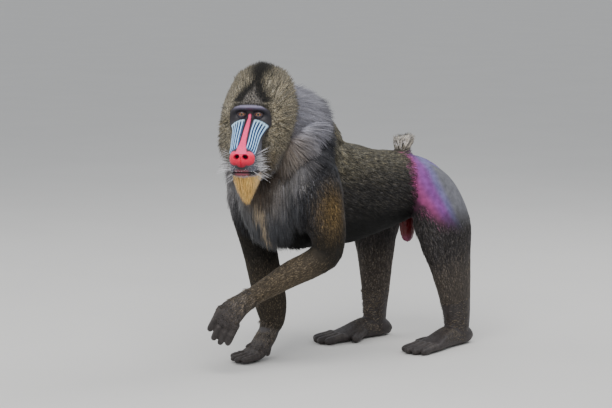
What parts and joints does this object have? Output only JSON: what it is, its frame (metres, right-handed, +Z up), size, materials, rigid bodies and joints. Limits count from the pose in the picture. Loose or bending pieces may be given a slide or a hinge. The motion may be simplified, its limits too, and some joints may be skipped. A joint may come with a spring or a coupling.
{
  "type": "mandrill, adult male",
  "caption": "Adult male mandrill in mid-stride, head turned to its left, with crested hood, ridged muzzle, beard, shoulder mantle and short tufted tail.",
  "frame": {"origin": "on the floor, under the middle of the animal's bounding box", "axes": "+Z up, -Y the way the animal walks, +X towards its own left side"},
  "size_m": [0.3415, 0.7599, 0.7176],
  "materials": {
    "hood_and_face": "olive-brown hair round bare blue and red skin",
    "eye": "wet amber",
    "ear_skin": "bare pinkish skin",
    "coat": "speckled olive-brown hair",
    "mantle": "long blue-grey hair",
    "rump_skin": "bare lilac and pink skin",
    "groin_skin": "bare red skin",
    "tail_tuft": "whitish hair",
    "dark_skin": "black bare skin"
  },
  "bodies": {
    "root": {"head": "hood_and_face", "eye_left": "eye", "eye_right": "eye", "ear_left": "ear_skin", "ear_right": "ear_skin", "neck": "coat", "chest": "mantle", "belly": "coat", "rump": "rump_skin", "groin": "groin_skin", "tail": "tail_tuft", "upper_arm_left": "coat", "upper_arm_right": "coat", "forearm_left": "coat", "forearm_right": "coat", "hand_left": "dark_skin", "hand_right": "dark_skin", "thigh_left": "coat", "thigh_right": "coat", "shin_left": "coat", "shin_right": "coat", "foot_left": "dark_skin", "foot_right": "dark_skin"}
  },
  "joints": []
}
